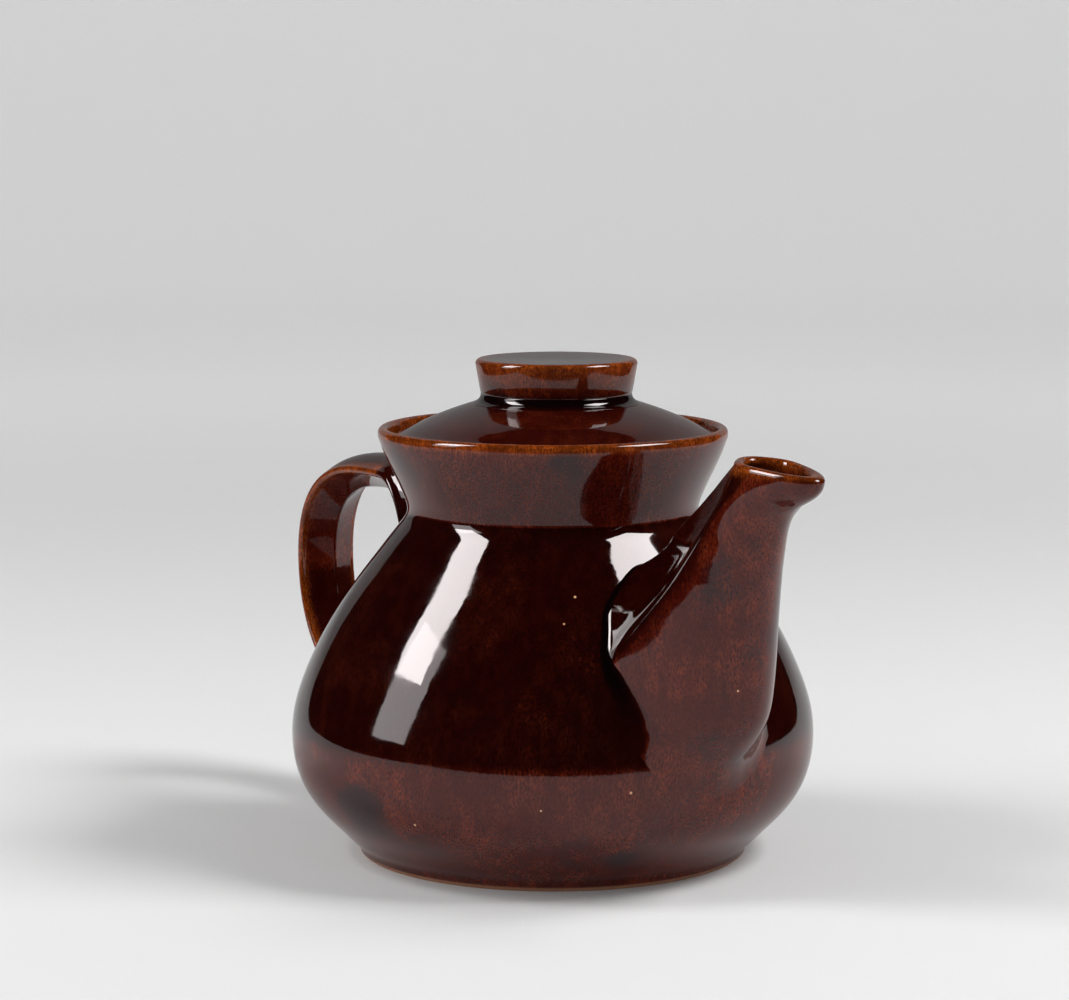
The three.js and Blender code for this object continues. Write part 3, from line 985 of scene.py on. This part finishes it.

# %% [markdown]
# ## Where the glaze lies thick and thin
# Molten glaze draws back from sharp edges, where the clay shows through as amber, and gathers
# in hollows, where it goes nearly black. In the slip fillets and the ring round the knob's foot
# that near-black is partly pooled glaze and partly painted shade in the creases. It also lies a
# little thicker on the neck. The foot's underside is wiped bare before the firing. Each piece
# carries how thin its glaze is, how much pooled glaze and painted shade it has and how much glaze
# is missing, as numbers from 0 to 1 at its points.

# %% Glaze depth
rim_band = 3.4 * MM
edge_band = 2 * MM
wide_band = 1.5 * edge_band
bare_height = 1 * MM
inner_thin_share = 0.75
keel_thin_height = 88 * MM
keel_band = 0.9 * MM
# the near-black of the fillets and the knob's ring is partly pooled glaze, partly painted shade; on the
# fillets it fades in between these heights and is gone below them
pool_and_shade_low_height, pool_and_shade_full_height = 42 * MM, 62 * MM
strip_pool_and_shade_power = 0.7
knob_ring_pool_and_shade_share = 0.85
neck_low_height = 96 * MM
neck_pool_share = 0.25


def nothing(points):
    return np.zeros(len(points))


def lay_glaze(piece, centre, thin=nothing, pool=nothing, bare=nothing):
    """Stores how thin, pooled or missing the glaze is at each point of a piece."""
    points = np.empty(3 * len(piece.data.vertices))
    piece.data.vertices.foreach_get("co", points)
    points = points.reshape(-1, 3) - np.array(centre)
    for name, share in (("thin", thin), ("pool", pool), ("bare", bare)):
        layer = piece.data.attributes.new(name, "FLOAT", "POINT")
        layer.data.foreach_set("value", np.clip(share(points), 0, 1))
    print(f"{piece.name}: glaze laid at {len(points)} points")


def radius_of(points):
    return np.hypot(points[:, 0], points[:, 1])


def body_thin(points):
    radius, height = radius_of(points), points[:, 2]
    band = rising(height, rim_height - rim_band, rim_height - rim_band / 2)
    inner = (radius < rim_inner + rim_wall / 2) & (height > ledge_height - edge_round)
    return np.maximum(band, inner_thin_share * inner)


def body_pool(points):
    """Thicker glaze on the neck, which the mottling hardly shows through."""
    height = points[:, 2]
    above_waist = rising(height, neck_low_height, neck_low_height + rim_band)
    near_rim = rising(height, rim_height - 2 * rim_band, rim_height - rim_band)
    return neck_pool_share * above_waist * (1 - near_rim)


def body_bare(points):
    return rising(-points[:, 2], -bare_height, -bare_height / 2)


def spout_thin(points):
    lip = rising(points[:, 2], lip_height - edge_band, lip_height + edge_round)
    keel = np.exp(-((points[:, 1] / keel_band) ** 2))
    level = np.clip((points[:, 2] - spout_low_height) / (lip_height - spout_low_height), 0, 1)
    keel_reach = mix(waist_radius, spout_reach, np.interp(level, spout_shares[:, 0], spout_shares[:, 1]))
    keel *= np.exp(-(((points[:, 0] - keel_reach) / edge_band) ** 2))
    return np.maximum(lip, keel * rising(points[:, 2], keel_thin_height, keel_thin_height + rim_band))


def handle_thin(points):
    edge = rising(np.abs(points[:, 1]), handle_half_width - wide_band, handle_half_width)
    return edge * rising(radius_of(points), belly_radius, belly_radius + rim_band)


def lid_thin(points):
    return rising(radius_of(points), lid_radius - edge_band, lid_radius - edge_round / 2)


def ring_pool_and_shade(points):
    """Pooled glaze and painted shade right round the foot of the knob, in its slip ring."""
    slip_height = (lid_top + knob_low.z) / 2
    gap = np.hypot(radius_of(points) - knob_waist_radius, points[:, 2] - slip_height)
    return knob_ring_pool_and_shade_share * rising(-gap, -knob_fillet_reach - edge_round, -edge_round)


def knob_thin(points):
    high = rising(points[:, 2], knob_high.z - wide_band, knob_high.z - knob_edge / 2)
    return high * rising(radius_of(points), knob_radius - 2 * edge_band, knob_radius - edge_band / 2)


def strip_pool_and_shade(piece):
    """Pooled glaze and painted shade along a fillet's middle, fading to both surfaces and low down."""
    shares = np.empty(len(piece.data.vertices))
    piece.data.attributes["row_share"].data.foreach_get("value", shares)
    across = np.sin(math.pi * np.clip(shares, 0, 1)) ** strip_pool_and_shade_power
    return lambda points: across * rising(points[:, 2], pool_and_shade_low_height, pool_and_shade_full_height)


lay_glaze(body, axis, body_thin, body_pool, body_bare)
lay_glaze(spout, axis, spout_thin)
lay_glaze(handle, axis, handle_thin)
lay_glaze(lid, lid_axis, lid_thin, ring_pool_and_shade)
lay_glaze(knob, lid_axis, knob_thin, ring_pool_and_shade)
lay_glaze(knob_fillet, lid_axis, pool=ring_pool_and_shade)
for strip in (spout_fillet, *handle_fillets):
    lay_glaze(strip, axis, pool=strip_pool_and_shade(strip))

# %% [markdown]
# ## The glaze
# The glaze is a clear red-brown glass over orange clay. On steep walls it ran thin and streaky,
# so the clay shows through in fine upright flecks and soft clouds; on surfaces that face up it
# stayed thick and almost black. That split by which way a surface faces is also painted light:
# steep and downward faces are painted redder and more mottled, as painted light from the pale
# floor, and faces that look up are painted near black, as painted shade. One node group makes the
# colour, the gloss and the tiny ripples in the surface from those ideas, and every glazed piece
# uses it with its own least share of that painted light: how much a piece that faces up is
# painted like a steep one. The iron in the glaze tints its shine a little red.

# %% Glaze group
# faces that look up are thick glaze and painted shade, near black; steep and downward faces are thin
# glaze and painted light from the floor, red
deep_and_shaded_colour = (0.009, 0.0004, 0.0003, 1)
red_and_floor_lit_colour = (0.044, 0.0028, 0.0016, 1)
orange_colour = (0.18, 0.026, 0.008, 1)
amber_colour = (0.30, 0.058, 0.007, 1)
smoky_colour = (0.005, 0.005, 0.008, 1)
# the near-black of pooled glaze, also used as painted shade in the creases
pool_and_shade_colour = (0.002, 0.0006, 0.0007, 1)
clay_colour = (0.42, 0.20, 0.11, 1)
# how much a surface faces up where the colour goes from thin glaze and painted floor light
# to thick glaze and painted shade
facing_range = 0.0, 0.14
# each kind of blotch has a size and the two values of its noise that it fades between
fleck_size, fleck_range, fleck_stretch = 0.45 * MM, (0.30, 0.72), 0.4
patch_size, patch_range, patch_least = 3.5 * MM, (0.34, 0.68), 0.3
cloud_size, cloud_range, cloud_least = 18 * MM, (0.36, 0.64), 0.4
smoke_size, smoke_range, smoke_most = 26 * MM, (0.54, 0.70), 0.75
# the mottling is painted faint on faces that look up, as part of their painted shade
flat_orange_least = 0.2
amber_range, amber_least = (0, 0.8), 0.25
gloss_range, gloss_roughness = (0.3, 0.7), (0.035, 0.075)
bare_roughness = 0.8
ripple_size, ripple_height = 5 * MM, 0.02 * MM
wave_size, wave_strength = 30 * MM, 2.0


def group_tree(name, inputs, outputs):
    """A new node group with its named inputs and outputs."""
    tree = bpy.data.node_groups.new(name, "ShaderNodeTree")
    for way, sockets in (("INPUT", inputs), ("OUTPUT", outputs)):
        for label, kind in sockets.items():
            tree.interface.new_socket(label, in_out=way, socket_type="NodeSocket" + kind)
    return tree, tree.nodes.new("NodeGroupInput").outputs, tree.nodes.new("NodeGroupOutput").inputs


def glaze_group():
    """Colour, roughness and ripples of the glaze, from its depth and its share of painted light."""
    tree, given, made = group_tree(
        "clear glaze over clay",
        {"Thin": "Float", "Pool": "Float", "Bare": "Float", "Least_steep_and_lit": "Float"},
        {"Colour": "Color", "Roughness": "Float", "Height": "Float"})
    place = object_place(tree)
    facing = add(tree, "ShaderNodeTexCoord").outputs["Normal"]
    up = add(tree, "ShaderNodeSeparateXYZ", {0: facing}).outputs["Z"]
    # which way a surface faces sets both how thick the glaze looks and the painted light and shade: steep
    # and downward faces get the floor-lit red, and faces that look up get the painted shade
    steep_and_lit = calc(tree, "MAXIMUM", ramp(tree, up, *facing_range, 1, 0), given["Least_steep_and_lit"])
    run_down = add(tree, "ShaderNodeVectorMath", {0: place, 1: (1, 1, fleck_stretch)},
                   operation="MULTIPLY").outputs[0]
    fine = ramp(tree, noise(tree, run_down, fleck_size), *fleck_range)
    patches = ramp(tree, noise(tree, run_down, patch_size, detail=4), *patch_range, patch_least, 1)
    flecks = calc(tree, "MULTIPLY", fine, patches)
    clouds = ramp(tree, noise(tree, place, cloud_size), *cloud_range, cloud_least, 1)
    smoke = ramp(tree, noise(tree, place, smoke_size, detail=3), *smoke_range)
    body_colour = blend(tree, steep_and_lit, deep_and_shaded_colour, red_and_floor_lit_colour)
    clouded = calc(tree, "MULTIPLY", flecks, clouds)
    orange = calc(tree, "MULTIPLY", clouded, ramp(tree, steep_and_lit, 0, 1, flat_orange_least, 1))
    colour = blend(tree, orange, body_colour, orange_colour)
    smoky = calc(tree, "MULTIPLY", smoke, calc(tree, "MULTIPLY", steep_and_lit, smoke_most))
    colour = blend(tree, smoky, colour, smoky_colour)
    streaky = calc(tree, "MULTIPLY", given["Thin"], ramp(tree, flecks, *amber_range, amber_least, 1))
    colour = blend(tree, streaky, colour, amber_colour)
    colour = blend(tree, given["Pool"], colour, pool_and_shade_colour)
    colour = blend(tree, given["Bare"], colour, clay_colour)
    gloss = ramp(tree, noise(tree, place, cloud_size / 2), *gloss_range, *gloss_roughness)
    gloss = calc(tree, "MAXIMUM", gloss, calc(tree, "MULTIPLY", given["Bare"], bare_roughness))
    waves = calc(tree, "MULTIPLY", noise(tree, place, wave_size, detail=1), wave_strength)
    ripples = calc(tree, "ADD", noise(tree, place, ripple_size), waves)
    tree.links.new(colour, made["Colour"])
    tree.links.new(gloss, made["Roughness"])
    tree.links.new(ripples, made["Height"])
    return tree


glaze_nodes = glaze_group()
print("nodes in the glaze group:", len(glaze_nodes.nodes))

# %% [markdown]
# A few pinholes and specks broke the glaze in the firing. They are placed where the photograph
# shows them: a ray from the camera through each finds its place on the pot.

# %% Small marks
pinhole_colour = (0.75, 0.42, 0.22, 1)
mark_solid_share = 0.6
# column and row in the photograph, and radius
pinholes = [
    (575, 597, 0.42 * MM), (631, 793, 0.45 * MM), (541, 811, 0.36 * MM), (738, 691, 0.36 * MM),
    (415, 825, 0.45 * MM), (564, 624, 0.32 * MM),
]


def mark_group():
    """A mask that is 1 inside a ball and fades to 0 at its radius."""
    tree, given, made = group_tree("small mark", {"Centre": "Vector", "Radius": "Float"},
                                   {"Mask": "Float"})
    gap = add(tree, "ShaderNodeVectorMath", {0: object_place(tree), 1: given["Centre"]},
              operation="DISTANCE").outputs["Value"]
    share = calc(tree, "DIVIDE", gap, given["Radius"])
    tree.links.new(ramp(tree, share, mark_solid_share, 1, 1, 0), made["Mask"])
    return tree


mark_nodes = mark_group()


def seen_at(column, row):
    """The place on the pot that lies behind a pixel of the photograph."""
    way = Vector(((column - image_width / 2) / focal_pixels, (image_height / 2 - row) / focal_pixels, -1))
    way = camera_turn @ way.normalized()
    hits = []
    for piece in (body, spout):
        tree = BVHTree.FromObject(piece, bpy.context.evaluated_depsgraph_get())
        place, _, _, distance = tree.ray_cast(camera.location, way)
        if place is not None:
            hits.append((distance, tuple(place)))
    return min(hits)[1]


# %% Glaze materials
glass_index = 1.5
shine_level = 0.56
shine_tint = (1, 0.92, 0.92, 1)


def glazed(name, least_steep_and_lit, marks=()):
    """A glazed material: the shared glaze, and small marks in it."""
    material, tree, shader = new_material(name, 0)
    depth = {share: add(tree, "ShaderNodeAttribute", attribute_name=share.lower()).outputs["Fac"]
             for share in ("Thin", "Pool", "Bare")}
    glaze = add(tree, "ShaderNodeGroup", {**depth, "Least_steep_and_lit": least_steep_and_lit}, node_tree=glaze_nodes)
    colour = glaze.outputs["Colour"]
    for column, row, radius in marks:
        inputs = {"Centre": seen_at(column, row), "Radius": radius}
        mark = add(tree, "ShaderNodeGroup", inputs, node_tree=mark_nodes)
        colour = blend(tree, mark.outputs["Mask"], colour, pinhole_colour)
    bump = add(tree, "ShaderNodeBump", {"Height": glaze.outputs["Height"], "Distance": ripple_height})
    tree.links.new(colour, shader.inputs["Base Color"])
    tree.links.new(glaze.outputs["Roughness"], shader.inputs["Roughness"])
    tree.links.new(bump.outputs["Normal"], shader.inputs["Normal"])
    shader.inputs["IOR"].default_value = glass_index
    shader.inputs["Specular IOR Level"].default_value = shine_level
    shader.inputs["Specular Tint"].default_value = shine_tint
    print(f"{name}: warmth {least_steep_and_lit}, {len(marks)} marks")
    return material


# each piece's least share of the floor-lit red of steep faces: painted light on its upward faces
coats = (
    (glazed("pot_glaze", least_steep_and_lit=0.0, marks=pinholes), (body, spout)),
    (glazed("handle_glaze", least_steep_and_lit=0.15), (handle,)),
    (glazed("lid_glaze", least_steep_and_lit=0.3), (lid, knob)),
    (glazed("slip_glaze", least_steep_and_lit=0.0), (knob_fillet, spout_fillet, *handle_fillets)),
)
for material, pieces in coats:
    for piece in pieces:
        piece.data.materials.clear()
        piece.data.materials.append(material)
